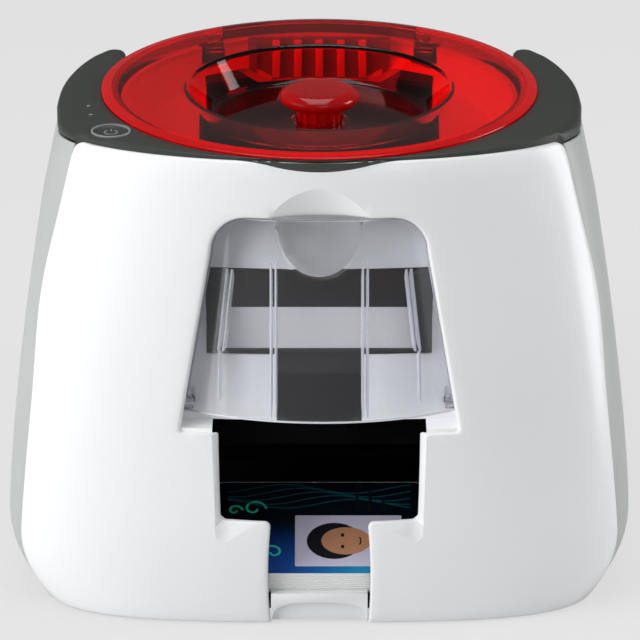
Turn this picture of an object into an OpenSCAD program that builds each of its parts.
// Desktop ID card printer: card feeder behind a smoked door, ribbon bay under a round
// hinged lid, printed cards dropping into a hopper below the feeder.
// Millimetres, +Z up, front towards -Y, origin at the middle of the footprint.

/* [Body] */
// Greatest width of the body
body_w = 258.4; // [252:0.4:280]
// Depth of the body, front panel to rear panel
body_d = 384; // [376:1:420]
// Height at which the body is widest
belly_z = 34; // [28:1:42]
// Height of the deck at its front edge
deck_z = 190; // [186:0.5:204]
// Slope of the deck, rising to the rear, in degrees
deck_tilt = 4.4; // [2:0.2:6]
// How far each side leans in between belly and deck
side_lean = 19.2; // [14:0.2:22]
// How far the front leans back between belly and deck
front_lean = 24; // [18:0.5:28]
// How far the front bows out across its width
front_bow = 57; // [48:1:64]
// Thickness of the case walls
wall = 2.5; // [2:0.1:3.2]
// Width of the seams between case covers
seam = 0.6; // [0.4:0.1:1]
// How far the front panel stands proud of the side covers
panel_proud = 0.8; // [0.4:0.1:1.2]
// Depth of the front panel's wrap round each side
panel_wrap = 36; // [30:1:44]
// Height of the feet below the covers
foot_h = 0.8; // [0.8:0.1:4]

/* [Lid] */
// Radius of the round lid
lid_r = 90.5; // [86:0.5:93]
// Place of the lid's centre from front (negative) to rear
lid_y = -76; // [-80:0.5:-72]
// Wall of the lid
lid_t = 2.4; // [1.8:0.1:3]
// Height of the lid's shoulder above the deck
lid_rise = 3; // [2:0.2:5]
// Radius of the ring round the lid's dish
dish_r = 56; // [50:0.5:60]
// Depth of the dish below the deck
dish_depth = 13; // [9:0.5:14]
// Radius of the release button's cap
knob_r = 17.5; // [14:0.5:20]
// Thickness of the release button's cap
knob_t = 7; // [5:0.5:9]
// Travel of the release button
knob_travel = 3; // [2:0.5:4]
// Width of the deck's opening edge inside the lid's rim
ledge_w = 6.5; // [5:0.5:8]
// Radius of the lid's hinge pins
lid_pin_r = 2; // [1.5:0.1:2.5]

/* [Cards] */
// Long side of a card
card_l = 85.6; // [82:0.1:88]
// Short side of a card
card_w = 53.98; // [50:0.02:56]
// Thickness of a card
card_t = 0.76; // [0.5:0.02:1]
// Number of blank cards in the feeder
blank_count = 22; // [4:1:36]
// Number of printed cards in the hopper
printed_count = 8; // [2:1:12]

/* [Feeder] */
// Height of the card path above the table
path_z = 110; // [108:0.5:114]
// Half width of the door at its foot
door_foot_w = 55.6; // [54:0.2:58]
// Height of the door's lower edge
door_z = 86; // [85:0.5:88]
// Height of the door's top edge
door_top_z = 166; // [160:0.5:168]
// Radius of the door's curve across its width
door_r = 97; // [88:1:110]
// Thickness of the door
door_t = 2; // [1.6:0.1:2.6]
// Depth of the recess that the door closes
recess = 14; // [13.5:0.5:16]
// Top of the loading window
window_z = 143; // [138:0.5:146]
// Radius of the door's hinge pins
door_pin_r = 1.5; // [1.2:0.1:1.8]

/* [Hopper] */
// Half width of the hopper's mouth at its lower lip
mouth_w = 41; // [39:0.2:42]
// Height of the hopper's lower lip
lip_z = 44; // [42:0.5:48]
// Half width of the thumb notch in the lip
notch_w = 20.2; // [16:0.2:24]
// Slope of the hopper's floor in degrees
hopper_tilt = 25; // [20:1:30]

/* [Drive] */
// Radius of the transport rollers
roller_r = 8; // [7:0.2:9]
// Radius of the roller shafts
shaft_r = 3; // [2.5:0.1:3.5]
// Play between a shaft and its bush, on the radius
bush_play = 0.05; // [0.03:0.01:0.08]
// Module of the drive gears
gear_m = 1; // [0.95:0.01:1.05]
// Thickness of the gears
gear_t = 5; // [4:0.5:6]
// Thickness of the chassis plates
plate_t = 1.5; // [1:0.1:2]
// Place of the platen roller from front (negative) to rear
platen_y = -50; // [-54:0.5:-48]
// Radius of the ribbon spools' flanges
flange_r = 16; // [14:0.5:16.5]
// Radius of the film wound on the supply spool
film_r = 13.5; // [10:0.5:13.5]

/* [Hidden] */
$fn = 64;

fine = 0.3;                  // running gap between curved pieces that don't share a bore
big = 700;                   // size of cutting blocks, larger than the printer
loft_steps = 19;             // slices in the lofted case
foot_steps = 5;              // of which below the belly
arc_steps = 9;               // points on a quarter of a slice's curve
top_z = deck_z + 20;         // above the highest point of the deck
base_tuck = 20;              // how far the sides tuck in below the belly
hood_z = 115;                // height at which the rear starts to slope forward
hood_fall = body_d / 2 - 22; // how far the rear slopes forward up to the deck
rear_round = 45;             // depth of the rear corners at the foot
rear_round_gain = 77;        // how much deeper they are at the deck

// ---- case: a loft of slices, each with a bowed front, straight sides and round rear corners
function above(z) = max(0, z - belly_z) / (deck_z - belly_z);
function below(z) = max(0, belly_z - z) / belly_z;
function level(z) = min(1, max(0, z) / deck_z);
function half_w(z) = body_w / 2 - side_lean * pow(above(z), 1.45) - base_tuck * pow(below(z), 2);
function front_y(z) = -body_d / 2 + panel_proud + front_lean * pow(above(z), 1.3);
function hood(z) = min(1, max(0, z - hood_z) / (deck_z - hood_z));
function rear_y(z) = body_d / 2 - hood_fall * pow(hood(z), 1.65);
function front_n(z) = 2.9 - 0.9 * level(z);
function rear_n(z) = 3 - 0.7 * level(z);
function rear_bow(z) = rear_round + rear_round_gain * pow(level(z), 4);
// how far the front surface falls back from its middle at a distance x from the centre
function sag(x, z) = front_bow * (1 - pow(1 - pow(abs(x) / half_w(z), front_n(z)), 1 / front_n(z)));

// inner face of the front wall at a distance x from the centre
function front_inside(x, z) = front_y(z) + sag(x, z) + wall;

function slice_points(z, t) = let (
    w = half_w(z) - t,
    mid_f = front_y(z) + front_bow,
    bow_f = front_bow - t,
    mid_r = rear_y(z) - rear_bow(z),
    bow_r = rear_bow(z) - t,
    n = front_n(z),
    m = rear_n(z),
    s = 90 / arc_steps
) concat(
    [for (i = [-arc_steps : arc_steps]) [
        sign(i) * w * pow(sin(abs(i) * s), 2 / n), mid_f - bow_f * pow(cos(i * s), 2 / n)]],
    [for (i = [arc_steps : -1 : -arc_steps]) [
        sign(i) * w * pow(sin(abs(i) * s), 2 / m), mid_r + bow_r * pow(cos(i * s), 2 / m)]]
);

module slice(z, t) {
    translate([0, 0, z]) linear_extrude(height = 0.01) polygon(slice_points(z, t));
}

// solid case set in by t, from z0 up
function loft_z(i, z0) = i <= foot_steps ? z0 + (belly_z - z0) * i / foot_steps
    : belly_z + (top_z - belly_z) * (i - foot_steps) / (loft_steps - foot_steps);
module loft(t, z0 = foot_h) {
    for (i = [0 : loft_steps - 1]) hull() {
        slice(loft_z(i, z0), t);
        slice(loft_z(i + 1, z0), t);
    }
}

// the deck's plane, with its origin at the middle of the lid
function deck_at(y) = deck_z + (y - front_y(deck_z)) * tan(deck_tilt);
module on_deck(x = 0, y = lid_y) {
    translate([x, y, deck_at(y)]) rotate([deck_tilt, 0, 0]) children();
}
module under_deck(drop) {
    on_deck() translate([-big / 2, -big / 2, -big - drop]) cube(big);
}
module case_solid(t, drop, z0 = foot_h) {
    intersection() {
        loft(t, z0);
        under_deck(drop);
    }
}
// shape drawn in X and Z, cut through the printer's front
module front_prism(y0 = -body_d, y1 = 0) {
    translate([0, y1, 0]) rotate([90, 0, 0]) linear_extrude(height = y1 - y0) children();
}
// shape drawn in Y and Z, cut right across the printer
module side_prism(w = big) {
    rotate([90, 0, 90]) translate([0, 0, -w / 2]) linear_extrude(height = w) children();
}
// solid turned about X: local x runs along Y, local y along Z, local z along X
module along_x(x, y, z) {
    translate([x, y, z]) rotate([90, 0, 90]) children();
}

// everything in front of the seam between front panel and side covers
zone_steps = 12;
module front_zone(gap) {
    side_prism() polygon(concat(
        [[-big, -10], [-big, big]],
        [for (i = [zone_steps : -1 : 0]) let (z = i * top_z / zone_steps)
            [front_y(z) + panel_wrap + gap, i == zone_steps ? big : i == 0 ? -10 : z]]
    ));
}
// everything above the seam between deck and side covers
seam_start = -60;
seam_fall = 83;
function seam_z(y) = deck_z - 2
    - seam_fall * pow(max(0, y - seam_start) / (body_d / 2 - seam_start), 1.2);
module hood_zone(gap) {
    side_prism() polygon(concat(
        [[-big, big], [-big, seam_z(-big) + gap]],
        [for (i = [0 : zone_steps]) let (y = seam_start + i * (body_d / 2 - seam_start) / zone_steps)
            [y, seam_z(y) + gap]],
        [[big, seam_z(body_d / 2) + gap], [big, big]]
    ));
}
rear_seam_y = 128;
panel_top_z = deck_z - 1;

// ---- front openings
door_shoulder = 14;                     // radius of the door's upper corners
door_top_w = 30;                        // half width at which those corners start
recess_z = door_z - 6;                  // floor of the recess below the door
side_slope = (door_foot_w - door_top_w - door_shoulder) / (door_top_z - door_shoulder - door_z);
door_gap = 0.6;                         // gap round the door
pan_t = 1.5;                            // wall of the recess
mouth_top_w = mouth_w + 2.6;
// outline of the door, grown by g, with its foot at z0
function door_points(g, z0) = let (
    foot = door_foot_w + g + (door_z - z0) * side_slope
) concat(
    [[-foot, z0], [foot, z0]],
    [for (a = [0 : 15 : 90])
        [door_top_w + (door_shoulder + g) * cos(a),
         door_top_z - door_shoulder + (door_shoulder + g) * sin(a)]],
    [for (a = [90 : 15 : 180])
        [-door_top_w + (door_shoulder + g) * cos(a),
         door_top_z - door_shoulder + (door_shoulder + g) * sin(a)]]
);
module mouth_outline(top) {
    offset(r = 2.5) offset(delta = -2.5) union() {
        polygon([[-mouth_w, lip_z], [mouth_w, lip_z], [mouth_top_w, top], [-mouth_top_w, top]]);
        translate([-notch_w, -10]) square([2 * notch_w, lip_z + 12]);
    }
}

// ---- case pieces
scoop_w = 21;
scoop_h = 11.5;
scoop_d = 7;
module scoop(grow) {
    translate([0, front_y(door_top_z), door_top_z])
        resize([2 * (scoop_w + grow), 2 * (scoop_d + grow), 2 * (scoop_h + grow)])
            sphere(r = scoop_w, $fn = 40);
}
facet_drop = 11;
// slanted thumb rests that fall from the mouth's lower corners to the notch
module lip_facets() {
    for (s = [-1, 1]) hull() {
        for (p = [[mouth_w + 0.6, lip_z + 1], [notch_w + 1, lip_z + 1], [mouth_w + 0.6, lip_z - facet_drop]])
            translate([s * p[0], front_y(lip_z) - 3, p[1]]) sphere(r = 0.2, $fn = 12);
        for (x = [mouth_w + 0.6, notch_w + 1])
            translate([s * x, front_y(lip_z) + 1.8, lip_z + 1]) sphere(r = 0.2, $fn = 12);
    }
}
module front_cover() {
    color([0.93, 0.94, 0.95]) difference() {
        intersection() {
            union() {
                difference() {
                    case_solid(-panel_proud, 0);
                    case_solid(wall, -5, foot_h - 1);
                }
                intersection() {
                    scoop(wall);
                    loft(0);
                }
            }
            front_zone(0);
            translate([-big / 2, -big / 2, foot_h]) cube([big, big, panel_top_z - foot_h]);
        }
        scoop(0);
        front_prism() polygon(door_points(door_gap + pan_t + 0.1, recess_z - 0.1));
        front_prism() mouth_outline(recess_z + 8);
        lip_facets();
        lid_recess();
    }
}
module side_cover() {
    difference() {
        case_solid(0, 0);
        case_solid(wall, 0, foot_h - 1);
        front_zone(seam);
        hood_zone(0);
        translate([-big / 2, rear_seam_y, -1]) cube(big);
        translate([-big, -big / 2, -1]) cube([big, big, big]);
    }
}
module right_side_cover() {
    color([0.74, 0.75, 0.75]) side_cover();
}
module left_side_cover() {
    color([0.74, 0.75, 0.75]) mirror([1, 0, 0]) side_cover();
}
port_z = 26;
jack_x = 20;
usb_x = 42;
usb_size = [12, 10.6];                   // width and height of the data port's nose
vent_count = 9;
vent_pitch = 7;
module rear_cover() {
    color([0.7, 0.71, 0.71]) difference() {
        case_solid(0, 0);
        case_solid(wall, 0, foot_h - 1);
        hood_zone(0);
        translate([-big / 2, rear_seam_y + seam - big, -1]) cube(big);
        for (i = [0 : vent_count - 1])
            translate([-90 + i * vent_pitch, body_d / 2 - 2 * wall, 46]) cube([3, 4 * wall, 34]);
        translate([jack_x, body_d / 2 + 2 * wall, port_z]) rotate([90, 0, 0])
            cylinder(r = jack_r + 0.3, h = 4 * wall);
        translate([usb_x - usb_size[0] / 2 - 0.3, body_d / 2 - 2 * wall, port_z - usb_size[1] / 2 - 0.3])
            cube([usb_size[0] + 0.6, 4 * wall, usb_size[1] + 0.6]);
    }
}

// ---- deck, with a step behind the lid for the hinge
deck_t = 6;
rim_depth = 3;
rim_gap = 0.8;
step_w = 83;
step_y = 38;
step_depth = 22;
module lid_recess() {
    on_deck() translate([0, 0, -rim_depth]) cylinder(r = lid_r + rim_gap, h = 20, $fn = 96);
}
module hinge_step(t) {
    on_deck() translate([-step_w - t, step_y - t, -step_depth - t])
        cube([2 * (step_w + t), big, step_depth + 20]);
}
button_x = -86.6;
button_y = -132;
button_r = 6.4;
ring_r = 9.2;
light_spots = [[-96, -100], [-94.5, -111]];
module top_deck() {
    color([0.25, 0.26, 0.26]) difference() {
        case_solid(0, 0);
        difference() {
            case_solid(wall, deck_t, foot_h - 1);
            hinge_step(wall);
        }
        hinge_step(0);
        intersection() {
            front_zone(seam);
            translate([-big / 2, -big / 2, panel_top_z + seam - big]) cube(big);
        }
        difference() {
            translate([-big / 2, -big / 2, -big / 2]) cube(big * 1.5);
            hood_zone(seam);
        }
        on_deck() translate([0, 0, -40]) cylinder(r = lid_r - ledge_w, h = 80, $fn = 96);
        lid_recess();
        on_deck(button_x, button_y) translate([0, 0, -20]) cylinder(r = button_r + 0.3, h = 40);
        on_deck(button_x, button_y) translate([0, 0, -1]) cylinder(r = ring_r + 0.1, h = 5);
        for (p = light_spots)
            on_deck(p[0], p[1]) translate([0, 0, -10]) cylinder(r = 1.3, h = 20, $fn = 24);
    }
}
module button_ring() {
    color([0.75, 0.76, 0.77]) on_deck(button_x, button_y) translate([0, 0, -1])
        difference() {
            cylinder(r = ring_r, h = 1.6);
            translate([0, 0, -1]) cylinder(r = button_r + 0.4, h = 4);
        }
}
module control_button() {
    color([0.35, 0.36, 0.36]) on_deck(button_x, button_y) {
        translate([0, 0, -deck_t - 3]) cylinder(r = button_r, h = deck_t + 3);
        translate([0, 0, -deck_t - 3]) cylinder(r = button_r + 2, h = 2);
    }
}
board_drop = 13;
board_t = 1.6;
// small board under the deck, with the button's switch and two light pipes
module key_board() {
    color([0.1, 0.35, 0.2]) for (p = light_spots)
        on_deck(p[0], p[1]) translate([0, 0, -board_drop]) cylinder(r = 1.2, h = board_drop + 0.2, $fn = 24);
    color([0.1, 0.35, 0.2]) on_deck(button_x, button_y) {
        translate([0, 0, -board_drop - board_t]) linear_extrude(height = board_t)
            polygon([[-7, -5], [7, -5], [-2, 36], [-12, 36], [-12, 15]]);
        for (p = [[-9.5, 19], [-0.5, 22]]) translate([p[0], p[1], -board_drop])
            cylinder(r = 2, h = board_drop - deck_t, $fn = 24);
        translate([-3, -3, -board_drop]) cube([6, 6, 1]);
    }
}

// ---- ribbon bay
bay_r = lid_r - ledge_w - 0.4;
bay_depth = 20;
bay_floor_r = bay_r - 10;
bay_t = 2;
bay_open = [51, -42, 70];        // half width, front and rear edge of the opening
rib_pitch = 9.6;
rib_w = 3.4;
rib_count = 5;
function rounded(w, y0, y1, r) = [
    for (c = [[w - r, y0 + r, -90], [w - r, y1 - r, 0], [-w + r, y1 - r, 90], [-w + r, y0 + r, 180]])
        for (a = [0 : 15 : 90]) [c[0] + r * cos(c[2] + a), c[1] + r * sin(c[2] + a)]
];
module bay_liner() {
    color([0.85, 0.85, 0.86]) on_deck() difference() {
        rotate_extrude($fn = 96) polygon([
            [0, -bay_depth], [bay_floor_r, -bay_depth], [bay_r - bay_t, -rim_depth - 4],
            [bay_r - bay_t, -deck_t + 1.5], [bay_r, -deck_t + 1.5],
            [bay_r, -deck_t], [bay_r + 4, -deck_t], [bay_r + 4, -deck_t - bay_t],
            [bay_r + 0.6, -deck_t - bay_t], [bay_floor_r + 1, -bay_depth - bay_t],
            [0, -bay_depth - bay_t]
        ]);
        translate([0, 0, -bay_depth - 5]) linear_extrude(height = 10)
            polygon(rounded(bay_open[0], bay_open[1], bay_open[2], 8));
        for (s = [-1, 1]) translate([s * 46 - 6, -66, -bay_depth - 5]) cube([12, 9, 10]);
        difference() {
            translate([-big / 2, step_y - wall - 1, -bay_depth]) cube([big, big, bay_depth]);
            translate([0, 0, -bay_depth - 1]) cylinder(r = bay_r, h = bay_depth + 2, $fn = 96);
        }
        for (s = [-1, 1]) translate([s * arm_x - arm_w / 2 - 1, 60, -deck_t - bay_t - 4.5])
            cube([arm_w + 2, 40, 20]);
    }
}
bracket_y = 71.2;
bracket_w = 31;
module rib_bracket() {
    color([0.9, 0.9, 0.9]) on_deck() intersection() {
        union() {
            translate([-bracket_w, bracket_y, -bay_depth]) cube([2 * bracket_w, 2, bay_depth - 2.5]);
            for (i = [0 : rib_count - 1])
                translate([(i - (rib_count - 1) / 2) * rib_pitch - rib_w / 2, bracket_y - 1.2, -bay_depth])
                    cube([rib_w, 1.3, bay_depth - 3]);
            for (s = [-1, 1]) translate([0, bracket_y, 0]) rotate([90, 0, 0]) linear_extrude(height = 1.5)
                polygon([
                    [s * (bracket_w - 4), -4], [s * bracket_w, -4],
                    [s * bracket_w, -bay_depth], [s * (bracket_w - 3), -bay_depth]
                ]);
        }
        rotate_extrude($fn = 96) polygon([
            [0, -bay_depth], [bay_floor_r - 0.1, -bay_depth], [bay_r - bay_t - 0.1, -rim_depth - 4],
            [bay_r - bay_t - 0.1, 0], [0, 0]
        ]);
    }
}

// ---- lid, in the deck's frame
knob_hole = 9.8;
stem_r = 9.5;
boss_r = 12;
boss_h = 6;
dish_slope = 9;
hinge_y = lid_r + 8;
hinge_z = -16;
arm_x = 46;
arm_w = 8;
lug_w = 3;
lug_gap = 0.5;
module lid() {
    color([0.75, 0.02, 0.02, 0.7]) on_deck() difference() {
        union() {
            rotate_extrude($fn = 96) polygon([
                [knob_hole, -dish_depth - lid_t - boss_h], [boss_r, -dish_depth - lid_t - boss_h],
                [boss_r, -dish_depth - lid_t], [dish_r - dish_slope, -dish_depth - lid_t],
                [dish_r + 0.6, 1.2 - lid_t], [lid_r - 5.6, lid_rise - lid_t],
                [lid_r - 3.4, -rim_depth + 0.4], [lid_r, -rim_depth + 0.4], [lid_r, 0.3],
                [lid_r - 1.8, 0.6], [lid_r - 3, lid_rise - 0.5], [lid_r - 5, lid_rise],
                [dish_r + 1, 1.4], [dish_r - 1.4, 0.4], [dish_r - dish_slope - 1, -dish_depth],
                [knob_hole, -dish_depth]
            ]);
            for (s = [-1, 1]) along_x(s * arm_x - arm_w / 2, 0, 0) linear_extrude(height = arm_w)
                polygon([
                    [68, 0.4], [68, -4], [84, -9], [hinge_y - 4, hinge_z - 2], [hinge_y, hinge_z - 4.2],
                    [hinge_y + 3.4, hinge_z - 2.6], [hinge_y + 4.2, hinge_z],
                    [hinge_y + 3, hinge_z + 3], [hinge_y, hinge_z + 4.2], [80, -rim_depth + 0.6], [80, 0]
                ]);
        }
        along_x(-big / 2, hinge_y, hinge_z) cylinder(r = lid_pin_r + bush_play, h = big);
    }
}
stem_ribs = 14;
module release_button() {
    color([0.8, 0.05, 0.05, 0.7]) on_deck() {
        rotate_extrude() polygon([
            [0, 0], [knob_r - 5, 0], [knob_r - 2, -0.8], [knob_r - 0.6, -2.2], [knob_r, -4],
            [knob_r - 0.8, -knob_t + 1.4], [knob_r - 3, -knob_t], [stem_r - 1.2, -knob_t],
            [stem_r - 1.2, -dish_depth - lid_t - boss_h - 0.6],
            [boss_r - 0.6, -dish_depth - lid_t - boss_h - 0.6],
            [boss_r - 0.6, -dish_depth - lid_t - boss_h - 2], [0, -dish_depth - lid_t - boss_h - 2]
        ]);
        for (i = [0 : stem_ribs - 1]) rotate([0, 0, i * 360 / stem_ribs])
            translate([stem_r - 1.6, -0.8, -dish_depth - lid_t - boss_h - 0.6])
                cube([1.5, 1.6, dish_depth + lid_t + boss_h + 0.6 - knob_t]);
    }
}
module lid_hinge_brackets() {
    color([0.25, 0.26, 0.26]) on_deck() for (s = [-1, 1]) {
        difference() {
            union() for (side = [-1, 1]) {
                x = s * arm_x + side * (arm_w + lug_w) / 2 + side * lug_gap - lug_w / 2;
                along_x(x, hinge_y, hinge_z) cylinder(r = 4.2, h = lug_w);
                translate([x, hinge_y - 4.2, -step_depth]) cube([lug_w, 8.4, step_depth + hinge_z]);
            }
            along_x(-big / 2, hinge_y, hinge_z) cylinder(r = lid_pin_r, h = big);
        }
    }
}
module lid_hinge_pins() {
    color([0.7, 0.7, 0.72]) on_deck() for (s = [-1, 1])
        along_x(s * arm_x - arm_w / 2 - lug_gap - lug_w - 0.5, hinge_y, hinge_z)
            cylinder(r = lid_pin_r, h = arm_w + 2 * lug_gap + 2 * lug_w + 1);
}

// ---- door and the recess behind it
module door_surround() {
    color([0.78, 0.79, 0.8]) difference() {
        intersection() {
            loft(panel_proud);
            front_prism() polygon(door_points(door_gap + pan_t, recess_z));
        }
        loft(recess + pan_t, -20);
        difference() {
            front_prism() polygon(door_points(door_gap, recess_z + pan_t));
            loft(recess, -20);
        }
        front_prism() translate([-window_w, path_z - tray_t - 0.4])
            square([2 * window_w, window_z - path_z + tray_t + 0.4]);
        front_prism() translate([-thumb_w, recess_z + pan_t]) square([2 * thumb_w, path_z - recess_z]);
        front_prism() translate([-mouth_top_w, 0]) square([2 * mouth_top_w, recess_z + pan_t + 0.1]);
        scoop(0);
        for (s = [-1, 1]) along_x(s * (door_foot_w + 3) - 4, door_hinge_y, door_hinge_z)
            cylinder(r = door_pin_r + 0.05, h = 8, $fn = 24);
        // pockets in which the door's lower corners turn
        for (s = [0, 1]) mirror([s, 0, 0])
            translate([door_foot_w + 0.25 - pocket[0], door_hinge_y - 1.5, door_z + 2]) cube(pocket);
    }
}
thumb_w = 17.2;
door_hinge_y = front_y(door_z) + 12.4;
door_hinge_z = door_z + 4;
door_nose_y = front_y(door_z) - 4.6;     // foremost point of the door, at its foot
door_lean = 12.7;                        // degrees that the door leans back
knuckle_r = 3;
pocket = [5.3, 8, 6.8];
tab_r = 20.3;                            // thumb dish in the door
tab_depth = 5;
tab_ball = (tab_r * tab_r + tab_depth * tab_depth) / (2 * tab_depth);
inner_rib_x = 19;
outer_rib_x = [35.7, 40.5];              // at the top and foot of the slanted ribs
rib_h = 2.6;
door_rim = 1.6;
module door_tube(r, h = 2 * (door_top_z - door_z)) {
    translate([0, door_nose_y, door_z]) rotate([-door_lean, 0, 0])
        translate([0, door_r, -h / 3]) cylinder(r = r, h = h, $fn = 96);
}
module door_ball(r) {
    translate([0, door_nose_y, door_z]) rotate([-door_lean, 0, 0])
        translate([0, tab_depth - tab_ball, (door_top_z - 2 - door_z) / cos(door_lean)]) sphere(r = r);
}
// shape drawn in X and Z, cut through the door alone
module door_prism() {
    front_prism(-body_d, door_hinge_y + 20) children();
}
module strip(x0, z0, x1, z1, w) {
    polygon([[x0 - w / 2, z0], [x0 + w / 2, z0], [x1 + w / 2, z1], [x1 - w / 2, z1]]);
}
// pairs of upright and slanted ribs
module door_ribs() {
    for (s = [-1, 1]) for (d = [-1.7, 1.7]) {
        strip(s * inner_rib_x + d, door_z - 5, s * inner_rib_x + d, window_z + 6, 0.9);
        strip(s * outer_rib_x[1] + d, door_z + 5, s * outer_rib_x[0] + d, window_z + 1, 0.9);
    }
}
// space behind the door's skin, between its ribs, cheeks and thumb dish
module door_hollow() {
    difference() {
        door_tube(door_r - door_t);
        door_ball(tab_ball + door_t);
        difference() {
            door_prism() door_ribs();
            door_tube(door_r - door_t - rib_h);
        }
        intersection() {
            door_prism() difference() {
                translate([-big, -big]) square([2 * big, big + door_top_z - door_shoulder]);
                polygon(door_points(-door_rim, door_z - 2));
            }
            side_prism() polygon([
                [-big, door_z - 5], [door_hinge_y - 4.8, door_z - 5], [door_hinge_y + 1.5, door_hinge_z],
                [door_hinge_y + 9, door_top_z], [-big, door_top_z]
            ]);
        }
    }
}
module feeder_door() {
    color([0.6, 0.61, 0.64, 0.6]) difference() {
        union() {
            difference() {
                intersection() {
                    door_tube(door_r);
                    door_prism() polygon(door_points(0, door_z));
                }
                door_ball(tab_ball);
                door_hollow();
            }
            for (s = [-1, 1]) along_x(s > 0 ? door_foot_w - 4.2 : -door_foot_w + 0.9, door_hinge_y, door_hinge_z)
                cylinder(r = knuckle_r, h = 3.3);
        }
        for (s = [-1, 1]) along_x(s > 0 ? door_foot_w - 6 : -door_foot_w - 2, door_hinge_y, door_hinge_z)
            cylinder(r = door_pin_r + bush_play, h = 8);
    }
}
module door_hinge_pins() {
    color([0.15, 0.15, 0.16]) for (s = [-1, 1]) {
        x0 = door_foot_w - 4.4;
        x1 = door_foot_w + 3.4;
        along_x(s > 0 ? x0 : -x1, door_hinge_y, door_hinge_z) cylinder(r = door_pin_r, h = x1 - x0);
        along_x(s > 0 ? x1 - 0.6 : -x1, door_hinge_y, door_hinge_z) cylinder(r = door_pin_r + 1.6, h = 0.6);
    }
}
// dark fins inside the door, one at each end of the card stack
module door_side_stops() {
    color([0.2, 0.2, 0.23]) intersection() {
        difference() {
            door_tube(door_r - door_t - 2.7);
            door_tube(door_r - door_t - 4.1);
        }
        door_prism() for (s = [-1, 1]) polygon([
            [s * (window_w - 0.4), window_z - 1], [s * outer_rib_x[0], window_z - 1],
            [s * (outer_rib_x[1] - 1.4), path_z], [s * (window_w - 0.4), path_z]
        ]);
    }
}

// ---- feeder tray and cards
guide_x = card_l / 2 + 0.8;              // inner face of the card guides
plate_x = card_l / 2 + 7.2;              // inner face of the chassis plates
tray_front = front_y(path_z) + recess + pan_t + 1.6;
tray_rear = tray_front + card_w + 0.6;
tray_top = window_z - 0.5;
tray_t = 1.6;                            // floor and side walls
gate_t = 1;                              // rear wall, with the gate
window_w = guide_x + tray_t + 0.5;       // half width of the loading window
roller_z = path_z - fine - roller_r;
roller_l = 2 * guide_x - 4;
pick_l = 56;
gate = 1.1 * card_t + 0.3;               // slot that lets one card through
module feeder_tray() {
    color([0.2, 0.2, 0.22]) {
        difference() {
            side_prism(2 * (guide_x + tray_t)) polygon([
                [tray_front, path_z - tray_t], [tray_front, path_z],
                [tray_front + (tray_top - path_z) * tan(door_lean), tray_top],
                [tray_rear + gate_t, tray_top], [tray_rear + gate_t, path_z - tray_t]
            ]);
            translate([-guide_x, tray_front - 1, path_z])
                cube([2 * guide_x, tray_rear + 1 - tray_front, window_z]);
            translate([-guide_x, tray_rear - 1, path_z - 0.01]) cube([2 * guide_x, 8, gate]);
            translate([-pick_l / 2 - 1, pick_y - roller_r - 1, path_z - 5])
                cube([pick_l + 2, 2 * roller_r + 2, 10]);
        }
        for (s = [-1, 1]) translate([s > 0 ? guide_x + tray_t : -plate_x, tray_rear - 16, path_z + 8])
            cube([plate_x - guide_x - tray_t, 8, 3]);
    }
}
card_pitch = card_t + 0.03;
card_corner = 3.18;
module card(t = card_t) {
    linear_extrude(height = t) polygon(rounded(card_l / 2, 0, card_w, card_corner));
}
module blank_cards() {
    color([0.95, 0.95, 0.96]) for (i = [0 : blank_count - 1])
        translate([0, tray_front + 0.5, path_z + 0.02 + i * card_pitch]) card();
}

// ---- hopper
floor_z = 13.4;
floor_y = front_inside(guide_x, floor_z) + 0.8;  // front lower edge of the card stack
floor_l = 58;
cheek_t = 1.5;
bridge_z = floor_z - 0.4;
arch_h = 5;
module on_floor() {
    translate([0, floor_y, floor_z]) rotate([hopper_tilt, 0, 0]) children();
}
cheek_rear = floor_y + floor_l * cos(hopper_tilt) + 2;
module output_tray() {
    color([0.9, 0.91, 0.92]) {
        on_floor() translate([-guide_x - 0.2, 0, -2]) cube([2 * guide_x + 0.4, floor_l, 1.9]);
        for (s = [-1, 1]) translate([s * 34 - 1, 0, 0]) side_rib();
        difference() {
            translate([-notch_w + 0.4, front_y(10), foot_h + 2.2])
                cube([2 * notch_w - 0.8, floor_y + 1 - front_y(10), bridge_z - foot_h - 2.2]);
            front_prism() translate([0, foot_h - 2.2]) scale([1, 0.42]) circle(r = notch_w - 1.6, $fn = 40);
        }
    }
}
module side_rib() {
    along_x(0, 0, 0) linear_extrude(height = 2) polygon([
        [floor_y + 20, base_top], [floor_y + 20, floor_z + 20 * tan(hopper_tilt) - 2.2],
        [floor_y + 46, floor_z + 46 * tan(hopper_tilt) - 2.2], [floor_y + 46, base_top]
    ]);
}
module hopper_cheeks() {
    color([0.12, 0.12, 0.13]) for (s = [-1, 1])
        along_x(s > 0 ? guide_x + 0.3 : -guide_x - 0.3 - cheek_t, 0, 0)
            linear_extrude(height = cheek_t) polygon(concat(
                [for (z = [base_top : (recess_z - 1 - base_top) / 5 : recess_z - 1])
                    [front_inside(guide_x + 0.3 + cheek_t, z) + 0.3, z]],
                [
                    [tray_front + 2, recess_z - 1], [tray_front + 2, path_z - tray_t - 0.2],
                    [pick_y - roller_r - 2, path_z - tray_t - 0.2],
                    [pick_y - roller_r - 2, chute_foot_z + 4],
                    [cheek_rear, chute_foot_z - 3], [cheek_rear, base_top]
                ]
            ));
}
module printed_cards() {
    color([0.05, 0.25, 0.45]) for (i = [0 : printed_count - 1])
        on_floor() translate([0, 0.3 + i * card_pitch * tan(hopper_tilt), i * card_pitch]) card();
}

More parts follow.
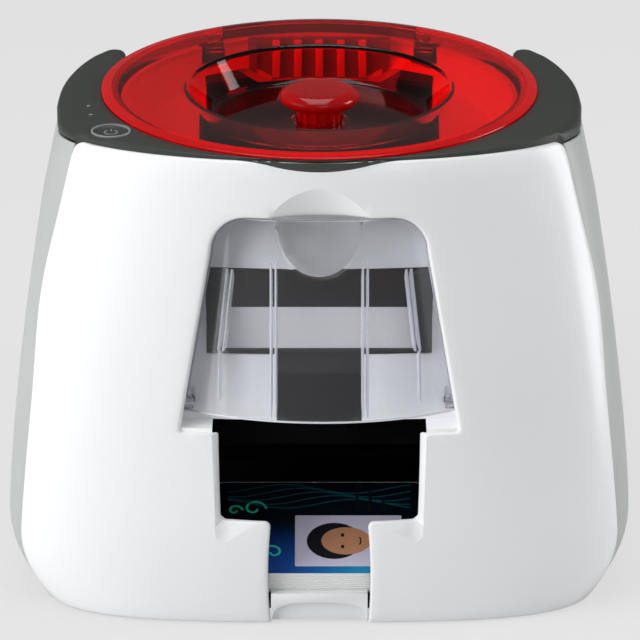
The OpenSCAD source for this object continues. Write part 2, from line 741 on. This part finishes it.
// ---- drive: transport rollers in one line, joined by idler gears
roller_teeth = 20;
front_teeth = 22;
middle_teeth = 34;
rear_teeth = 24;
pinion_teeth = 14;
middle_y = platen_y - gear_m * (roller_teeth + middle_teeth) / 2;
feed_y = platen_y - gear_m * (roller_teeth + middle_teeth);
front_idler_y = feed_y - gear_m * (roller_teeth + front_teeth) / 2;
pick_y = feed_y - gear_m * (roller_teeth + front_teeth);
rear_idler_y = platen_y + gear_m * (roller_teeth + rear_teeth) / 2;
exit_y = platen_y + gear_m * (roller_teeth + rear_teeth);
pinion_z = roller_z - gear_m * (middle_teeth + pinion_teeth) / 2;
pressure = 25;                           // pressure angle of the teeth
backlash = 0.16;                         // play between teeth along the pitch circle
gear_x = -plate_x - plate_t - 2 - gear_t;

function involute(rb, r) = let (
    t = sqrt(max(0, r * r / (rb * rb) - 1))
) t * 180 / PI - atan(t);
// half the angle of a tooth at radius r
function half_tooth(n, m, r) = let (
    rp = n * m / 2,
    rb = rp * cos(pressure)
) 90 / n - backlash / 2 / rp * 180 / PI + involute(rb, rp) - involute(rb, max(r, rb));
function gear_points(n, m) = let (
    rp = n * m / 2,
    rt = rp + 0.95 * m,
    rr = rp - 1.2 * m,
    radii = [rr, max(rr + 0.01, rp * cos(pressure)), rp - 0.25 * m, rp + 0.35 * m, rt]
) [for (i = [0 : n - 1]) for (k = [0 : 9]) let (
    r = radii[k < 5 ? k : 9 - k],
    a = i * 360 / n + (k < 5 ? -1 : 1) * half_tooth(n, m, r)
) [r * cos(a), r * sin(a)]];
// turn of a gear of n teeth that meshes, in direction dir, with one of p teeth turned by a
function meshed(a, p, n, dir) = dir + 180 + (dir - a) * p / n + 180 / n;
module gear(n, m, t, bore = 0, turn = 0) {
    rotate([0, 0, turn]) difference() {
        union() {
            linear_extrude(height = t) polygon(gear_points(n, m));
            translate([0, 0, -0.8]) cylinder(r = bore + 1.8, h = t + 1.6);
        }
        if (bore > 0) translate([0, 0, -2]) cylinder(r = bore, h = t + 4);
        if (n > 20) for (k = [0 : 4]) rotate([0, 0, k * 72])
            translate([(n * m / 2 + bore) / 2, 0, -1]) cylinder(r = n * m / 2 * 0.2, h = t + 2, $fn = 32);
    }
}
turn_middle = meshed(0, roller_teeth, middle_teeth, 180);
turn_feed = meshed(turn_middle, middle_teeth, roller_teeth, 180);
turn_front = meshed(turn_feed, roller_teeth, front_teeth, 180);
turn_pick = meshed(turn_front, front_teeth, roller_teeth, 180);
turn_rear = meshed(0, roller_teeth, rear_teeth, 0);
turn_exit = meshed(turn_rear, rear_teeth, roller_teeth, 0);
turn_pinion = meshed(turn_middle, middle_teeth, pinion_teeth, -90);

module transport_roller(y, l) {
    color([0.12, 0.12, 0.13]) along_x(-l / 2, y, roller_z) difference() {
        cylinder(r = roller_r, h = l);
        translate([0, 0, -1]) cylinder(r = shaft_r, h = l + 2);
    }
}
module roller_shaft(y, turn) {
    color([0.82, 0.82, 0.8]) {
        along_x(gear_x, y, roller_z) cylinder(r = shaft_r, h = plate_x + plate_t + 3 - gear_x);
        along_x(gear_x, y, roller_z) gear(roller_teeth, gear_m, gear_t, 0, turn);
    }
}
module pick_roller() { transport_roller(pick_y, pick_l); }
module feed_roller() { transport_roller(feed_y, roller_l); }
module platen_roller() { transport_roller(platen_y, roller_l); }
module exit_roller() { transport_roller(exit_y, roller_l); }
module pick_shaft() { roller_shaft(pick_y, turn_pick); }
module feed_shaft() { roller_shaft(feed_y, turn_feed); }
module platen_shaft() { roller_shaft(platen_y, 0); }
module exit_shaft() { roller_shaft(exit_y, turn_exit); }
axle_r = 2;
module idler(y, n, turn) {
    color([0.92, 0.9, 0.82]) along_x(gear_x, y, roller_z) gear(n, gear_m, gear_t, axle_r + bush_play, turn);
}
module front_idler() { idler(front_idler_y, front_teeth, turn_front); }
module middle_idler() { idler(middle_y, middle_teeth, turn_middle); }
module rear_idler() { idler(rear_idler_y, rear_teeth, turn_rear); }
module idler_axles() {
    color([0.7, 0.7, 0.72]) for (y = [front_idler_y, middle_y, rear_idler_y]) {
        along_x(gear_x - 2.4, y, roller_z) cylinder(r = axle_r, h = -plate_x - gear_x + 2.4);
        along_x(gear_x - 2.4, y, roller_z) cylinder(r = axle_r + 1.2, h = 1);
    }
}

// ---- chassis
plate_base = 5.5;
base_top = plate_base;
rod_spots = [[-112, 162], [26, 160], [44, 30], [-60, 30]];
rod_r = 3;
bush_out = 5;
pinch_r = 4.5;
pinch_axle = 1.5;
pinch_z = path_z + card_t + fine + pinch_r;
spool_z = 152;
supply_y = -92;
takeup_y = -10;
pivot_y = 18;
pivot_z = 127;
pivot_r = 3;
flap_y = -90;
flap_z = path_z - 5.6;
flap_r = 1.8;
guide_bars = [[-68, 118], [-33, 118]];
bar_r = 2;
module plate_outline() {
    polygon([
        [pick_y - 11, path_z - 20], [pick_y - 11, path_z + 6], [-122, 150], [-118, 168], [30, 168],
        [58, 140], [58, plate_base], [-66, plate_base], [-112, 58], [-122, path_z - 20]
    ]);
}
module chassis_plate(x) {
    color([0.66, 0.67, 0.68]) difference() {
        along_x(x, 0, 0) linear_extrude(height = plate_t) plate_outline();
        for (y = [pick_y, feed_y, platen_y, exit_y])
            along_x(x - 1, y, roller_z) cylinder(r = bush_out, h = plate_t + 2);
        for (y = [feed_y, exit_y])
            along_x(x - 1, y, pinch_z) cylinder(r = pinch_axle + bush_play, h = plate_t + 2);
        along_x(x - 1, pivot_y, pivot_z) cylinder(r = pivot_r, h = plate_t + 2);
        along_x(x - 1, flap_y, flap_z) cylinder(r = flap_r + bush_play, h = plate_t + 2);
        for (p = guide_bars) along_x(x - 1, p[0], p[1]) cylinder(r = bar_r, h = plate_t + 2);
        for (y = [supply_y, takeup_y])
            along_x(x - 1, y, spool_z) cylinder(r = hub_r + bush_play, h = plate_t + 2);
        for (p = rod_spots) along_x(x - 1, p[0], p[1]) cylinder(r = 1.6, h = plate_t + 2, $fn = 32);
        along_x(x - 1, -10, 60) cylinder(r = 20, h = plate_t + 2);
    }
}
module left_chassis_plate() {
    difference() {
        chassis_plate(-plate_x - plate_t);
        for (y = [front_idler_y, middle_y, rear_idler_y])
            along_x(-plate_x - plate_t - 1, y, roller_z) cylinder(r = axle_r, h = plate_t + 2);
    }
}
module right_chassis_plate() { chassis_plate(plate_x); }
module tie_rods() {
    color([0.7, 0.7, 0.72]) for (p = rod_spots) along_x(-plate_x, p[0], p[1]) cylinder(r = rod_r, h = 2 * plate_x);
}
module chassis_screws() {
    color([0.6, 0.6, 0.62]) for (s = [-1, 1]) for (p = rod_spots) {
        x = plate_x + plate_t;
        along_x(s > 0 ? x : -x - 1.8, p[0], p[1]) difference() {
            cylinder(r = 2.9, h = 1.8, $fn = 48);
            translate([-2, -0.4, s > 0 ? 1 : -0.2]) cube([4, 0.8, 1]);
        }
    }
}
module shaft_bushes() {
    color([0.75, 0.62, 0.3]) for (x = [-plate_x - plate_t - 1, plate_x - 0.7])
        for (y = [pick_y, feed_y, platen_y, exit_y]) along_x(x, y, roller_z) difference() {
            cylinder(r = bush_out, h = plate_t + 1.7);
            translate([0, 0, -1]) cylinder(r = shaft_r + bush_play, h = plate_t + 4);
        }
}
module pinch_roller(y) {
    color([0.5, 0.5, 0.52]) {
        along_x(-roller_l / 2, y, pinch_z) cylinder(r = pinch_r, h = roller_l);
        along_x(-plate_x - plate_t, y, pinch_z) cylinder(r = pinch_axle, h = 2 * (plate_x + plate_t));
    }
}
module feed_pinch_roller() { pinch_roller(feed_y); }
module exit_pinch_roller() { pinch_roller(exit_y); }
chute_top = [-66, path_z - 5];
chute_foot_y = -128;
chute_foot_z = 57;
module exit_chute() {
    color([0.15, 0.15, 0.16]) along_x(-plate_x, 0, 0) linear_extrude(height = 2 * plate_x) polygon([
        chute_top, [chute_top[0] + 1.6, chute_top[1]], [chute_foot_y + 1.6, chute_foot_z - 1.2],
        [chute_foot_y, chute_foot_z]
    ]);
}
module diverter_flap() {
    color([0.3, 0.3, 0.32]) {
        along_x(-plate_x - plate_t, flap_y, flap_z) cylinder(r = flap_r, h = 2 * (plate_x + plate_t));
        along_x(-guide_x + 1, 0, 0) linear_extrude(height = 2 * guide_x - 2) polygon([
            [flap_y, flap_z - 1], [flap_y - 0.5, flap_z + flap_r - 0.4], [flap_y + 18, path_z - 0.6],
            [flap_y + 18, path_z - 1.6]
        ]);
    }
}

// ---- print head
head_half = guide_x + 0.8;
head_gap = 1;                            // room for card and film at the platen
head_z = path_z + card_t + head_gap;
arm_t = 2.4;
arm_in = head_half + 0.6;
module print_head() {
    color([0.75, 0.76, 0.78]) {
        along_x(-head_half, platen_y, head_z) linear_extrude(height = 2 * head_half) polygon([
            [-2, 0], [2, 0], [9, 3], [9, 10], [-9, 10], [-9, 3]
        ]);
        for (i = [0 : 8]) translate([-head_half, platen_y - 9 + i * 2.1, head_z + 10])
            cube([2 * head_half, 1.2, 14]);
    }
}
module head_carrier() {
    color([0.22, 0.22, 0.24]) {
        for (s = [-1, 1]) along_x(s > 0 ? arm_in : -arm_in - arm_t, 0, 0) difference() {
            linear_extrude(height = arm_t) polygon([
                [pivot_y + 4, pivot_z - 5], [pivot_y + 6, pivot_z], [pivot_y + 4, pivot_z + 5],
                [platen_y + 6, pivot_z + 6], [platen_y - 10, pivot_z + 2], [platen_y - 10, pivot_z - 6],
                [platen_y + 10, pivot_z - 6]
            ]);
            translate([pivot_y, pivot_z, -1]) cylinder(r = pivot_r + bush_play, h = arm_t + 2);
        }
        for (s = [-1, 1]) translate([s > 0 ? head_half + 0.02 : -arm_in, platen_y - 8, pivot_z - 5])
            cube([arm_in - head_half - 0.02, 16, 8]);
    }
}
module head_pivot_shaft() {
    color([0.7, 0.7, 0.72]) along_x(-plate_x - plate_t, pivot_y, pivot_z)
        cylinder(r = pivot_r, h = 2 * (plate_x + plate_t));
}

// ---- ribbon
hub_r = 4;
core_r = 9;
flange_t = 1.5;
spool_half = plate_x - 1;
film_half = guide_x - 1.5;
takeup_flange = flange_r - 2;
takeup_film = film_r - 3.5;
ribbon_m = 0.8;
takeup_teeth = 30;
ribbon_teeth = 15;
ribbon_reach = ribbon_m * (takeup_teeth + ribbon_teeth) / 2;
ribbon_turn = meshed(0, takeup_teeth, ribbon_teeth, 0);
module spool(y, flange, film) {
    along_x(-plate_x - plate_t, y, spool_z) cylinder(r = hub_r, h = 2 * (plate_x + plate_t));
    along_x(-spool_half, y, spool_z) cylinder(r = core_r, h = 2 * spool_half);
    for (x = [-film_half - flange_t - 0.5, film_half + 0.5]) along_x(x, y, spool_z) cylinder(r = flange, h = flange_t);
    along_x(-film_half, y, spool_z) cylinder(r = film, h = 2 * film_half);
}
module supply_spool() {
    color([0.16, 0.16, 0.3]) spool(supply_y, flange_r, film_r);
}
module takeup_spool() {
    color([0.16, 0.16, 0.3]) {
        spool(takeup_y, takeup_flange, takeup_film);
        along_x(gear_x, takeup_y, spool_z) cylinder(r = hub_r, h = -plate_x - gear_x);
        along_x(gear_x, takeup_y, spool_z) gear(takeup_teeth, ribbon_m, gear_t, 0, 0);
    }
}
film_t = 0.2;
function tangent(c, r, p, side) = let (
    d = norm(p - c),
    a = atan2(p[1] - c[1], p[0] - c[0]) + side * acos(r / d)
) c + r * [cos(a), sin(a)];
module ribbon_film() {
    wrap = bar_r + fine;
    supply = [supply_y, spool_z];
    takeup = [takeup_y, spool_z];
    low = [for (y = [-2.6, 2.6]) [platen_y + y, head_z - 0.4]];
    a = tangent(supply, film_r + fine, guide_bars[0] - [wrap, 0], -1);
    b = tangent(guide_bars[0], wrap, a, 1);
    c = tangent(guide_bars[0], wrap, low[0], -1);
    d = tangent(guide_bars[1], wrap, low[1], 1);
    e = tangent(guide_bars[1], wrap, takeup, -1);
    f = tangent(takeup, takeup_film + fine, e, 1);
    route = [a, b, c, low[0], low[1], d, e, f];
    n = len(route);
    color([0.1, 0.1, 0.25]) along_x(-film_half, 0, 0) linear_extrude(height = 2 * film_half)
        polygon(concat(route, [for (i = [n - 1 : -1 : 0]) route[i] + [0, -film_t]]));
}
module film_guide_bars() {
    color([0.75, 0.75, 0.77]) for (p = guide_bars) along_x(-plate_x - plate_t, p[0], p[1])
        cylinder(r = bar_r, h = 2 * (plate_x + plate_t));
}

// ---- motors on a bracket outside the left plate
bracket_x = gear_x - 4;
motor_w = 35;
motor_l = 24;
ribbon_motor_r = 12;
ribbon_motor_y = takeup_y + ribbon_reach;
motor_shaft = 1.5;
post_spots = [[-104, 72], [-56, 60], [30, 130], [26, 90]];
module motor_bracket() {
    color([0.66, 0.67, 0.68]) {
        difference() {
            along_x(bracket_x, 0, 0) linear_extrude(height = plate_t) polygon([
                [-110, 66], [-110, 84], [-90, 92], [-62, 92], [-2, 118], [-2, 166], [22, 166], [36, 136],
                [36, 84], [-50, 54], [-62, 54]
            ]);
            along_x(bracket_x - 1, middle_y, pinion_z) cylinder(r = 6, h = 4);
            along_x(bracket_x - 1, ribbon_motor_y, spool_z) cylinder(r = 4, h = 4);
        }
        for (p = post_spots) along_x(bracket_x + plate_t, p[0], p[1])
            cylinder(r = 2.5, h = -plate_x - plate_t - bracket_x - plate_t);
    }
}
module drive_motor() {
    color([0.3, 0.3, 0.32]) {
        translate([bracket_x - motor_l, middle_y - motor_w / 2, pinion_z - motor_w / 2])
            cube([motor_l, motor_w, motor_w]);
        along_x(bracket_x, middle_y, pinion_z) difference() {
            cylinder(r = 5.6, h = 2);
            translate([0, 0, -1]) cylinder(r = motor_shaft + 0.4, h = 4);
        }
    }
}
module drive_pinion() {
    color([0.8, 0.68, 0.35]) {
        along_x(gear_x, middle_y, pinion_z) gear(pinion_teeth, gear_m, gear_t, 0, turn_pinion);
        along_x(bracket_x + 0.3, middle_y, pinion_z) cylinder(r = motor_shaft, h = gear_x - bracket_x);
    }
}
module ribbon_motor() {
    color([0.75, 0.75, 0.77]) {
        along_x(bracket_x - 30, ribbon_motor_y, spool_z) cylinder(r = ribbon_motor_r, h = 30);
        along_x(bracket_x, ribbon_motor_y, spool_z) difference() {
            cylinder(r = 3.6, h = 2);
            translate([0, 0, -1]) cylinder(r = motor_shaft + 0.4, h = 4);
        }
    }
}
module ribbon_pinion() {
    color([0.8, 0.68, 0.35]) {
        along_x(gear_x, ribbon_motor_y, spool_z) gear(ribbon_teeth, ribbon_m, gear_t, 0, ribbon_turn);
        along_x(bracket_x + 0.3, ribbon_motor_y, spool_z) cylinder(r = motor_shaft, h = gear_x - bracket_x);
    }
}

// ---- electronics
board_z = 14;
board_x = [-32, 66];                     // side edges of the main board
board_front = 74;
board_rear = body_d / 2 - wall - 4;
jack_r = 4.8;
port_rear = body_d / 2 - 1;              // outer ends of the ports
module main_board() {
    color([0.08, 0.3, 0.18]) {
        translate([board_x[0], board_front, board_z])
            cube([board_x[1] - board_x[0], board_rear - board_front, board_t]);
        for (x = [board_x[0] + 6, board_x[1] - 6]) for (y = [board_front + 6, board_rear - 6])
            translate([x, y, base_top]) cylinder(r = 3, h = board_z - base_top, $fn = 24);
        translate([-14, 100, board_z + board_t]) cube([22, 22, 2]);
        translate([24, 96, board_z + board_t]) cube([14, 30, 2]);
        for (i = [0 : 3]) translate([54, 90 + 14 * i, board_z + board_t]) cylinder(r = 4, h = 10, $fn = 32);
    }
}
module rear_ports() {
    deep = board_rear - 15;
    foot = board_z + board_t;
    color([0.15, 0.15, 0.16]) {
        // power jack: block, nose and centre pin
        translate([jack_x - 5.5, deep, foot]) difference() {
            cube([11, 15, port_z + 5.4 - foot]);
            translate([5.5, 4, port_z - foot]) rotate([-90, 0, 0]) cylinder(r = 3.2, h = 20);
        }
        translate([jack_x, board_rear, port_z]) rotate([-90, 0, 0]) difference() {
            cylinder(r = jack_r, h = port_rear - board_rear);
            translate([0, 0, -1]) cylinder(r = 3.2, h = 20);
        }
        translate([jack_x, deep + 3, port_z]) rotate([-90, 0, 0]) cylinder(r = 1, h = 12, $fn = 24);
        // data port: block, nose and tongue
        difference() {
            union() {
                translate([usb_x - 6, deep, foot]) cube([12, 15, port_z + usb_size[1] / 2 - foot]);
                translate([usb_x - usb_size[0] / 2, board_rear - 1, port_z - usb_size[1] / 2])
                    cube([usb_size[0], port_rear - board_rear + 1, usb_size[1]]);
            }
            translate([usb_x - 4.4, deep + 4, port_z - 4]) cube([8.8, 30, 7.6]);
        }
        translate([usb_x - 2.8, deep + 3, port_z - 1.6]) cube([5.6, 12, 3.2]);
    }
}

// ---- base
foot_r = 8;
foot_spots = [[90, -148], [96, 140]];
module base_tray() {
    color([0.3, 0.31, 0.31]) difference() {
        translate([0, 0, foot_h + 1.5]) linear_extrude(height = base_top - foot_h - 1.5)
            polygon(slice_points(foot_h + 1.5, wall + 0.3));
        translate([-notch_w - 1, -body_d, -1]) cube([2 * notch_w + 2, body_d + floor_y + 8, 20]);
        for (s = [-1, 1]) for (p = foot_spots) translate([s * p[0], p[1], foot_h - 1])
            cylinder(r = foot_r + 0.1, h = 2.6);
    }
}
module rubber_feet() {
    color([0.1, 0.1, 0.1]) for (s = [-1, 1]) for (p = foot_spots) translate([s * p[0], p[1], 0])
        cylinder(r = foot_r, h = foot_h + 1.6);
}

base_tray();
rubber_feet();
front_cover();
left_side_cover();
right_side_cover();
rear_cover();
top_deck();
bay_liner();
rib_bracket();
lid();
release_button();
lid_hinge_brackets();
lid_hinge_pins();
feeder_door();
door_side_stops();
door_hinge_pins();
door_surround();
feeder_tray();
blank_cards();
output_tray();
hopper_cheeks();
printed_cards();
exit_chute();
diverter_flap();
left_chassis_plate();
right_chassis_plate();
tie_rods();
chassis_screws();
shaft_bushes();
pick_roller();
pick_shaft();
feed_roller();
feed_shaft();
platen_roller();
platen_shaft();
exit_roller();
exit_shaft();
front_idler();
middle_idler();
rear_idler();
idler_axles();
feed_pinch_roller();
exit_pinch_roller();
motor_bracket();
drive_motor();
drive_pinion();
print_head();
head_carrier();
head_pivot_shaft();
supply_spool();
takeup_spool();
ribbon_film();
film_guide_bars();
ribbon_motor();
ribbon_pinion();
main_board();
rear_ports();
control_button();
button_ring();
key_board();
